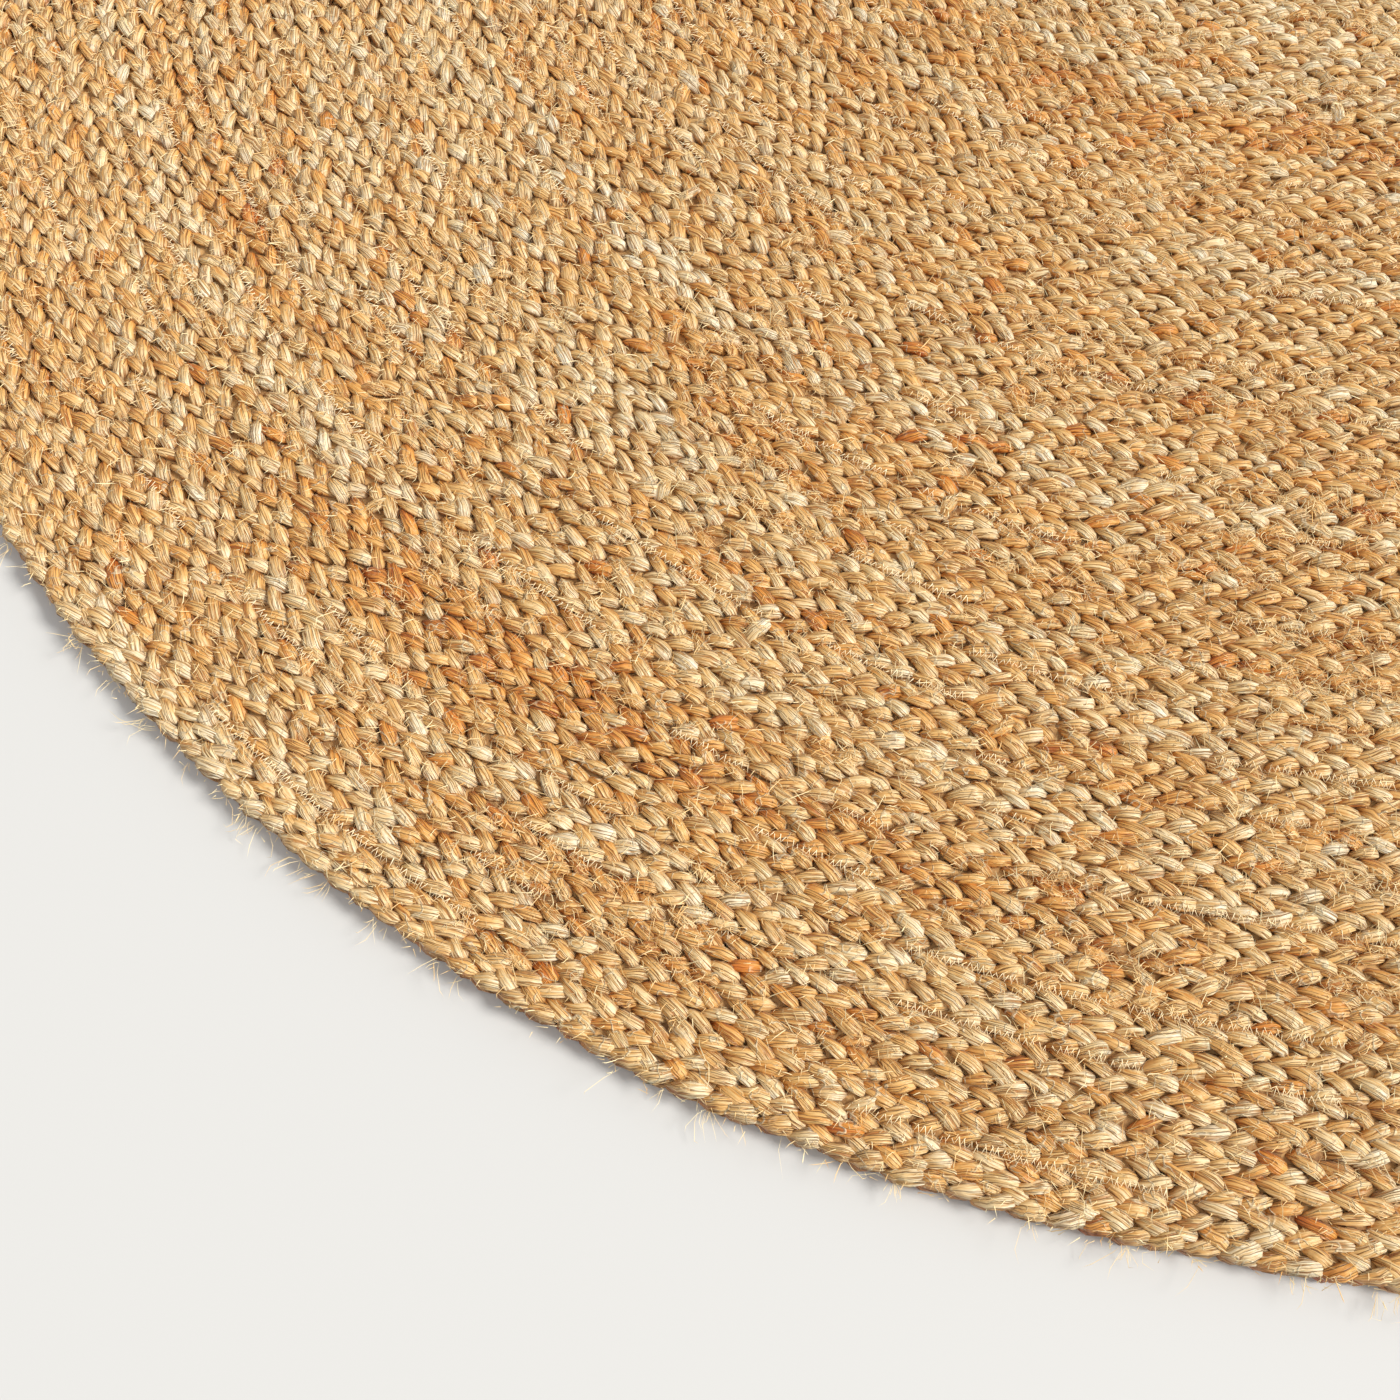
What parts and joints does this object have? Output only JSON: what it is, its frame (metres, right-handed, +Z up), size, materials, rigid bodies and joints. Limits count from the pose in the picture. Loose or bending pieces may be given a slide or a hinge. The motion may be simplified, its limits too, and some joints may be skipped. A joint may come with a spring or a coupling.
{
  "type": "oval braided jute rug",
  "caption": "Oval floor rug of a flat jute plait, coiled round a straight core and sewn edge to edge, lying flat on the floor.",
  "frame": {"origin": "centre of the flat underside, on the floor, in the middle of the rug's length and width", "axes": "+X along the rug's length, +Y across its width, +Z up out of the floor through the worn face"},
  "size_m": [1.7984, 1.207, 0.01],
  "materials": {
    "jute": "coarse undyed jute strands, matt with a dry silky sheen, straw to rust brown"
  },
  "bodies": {
    "root": {"braided_rug": "jute"}
  },
  "joints": []
}
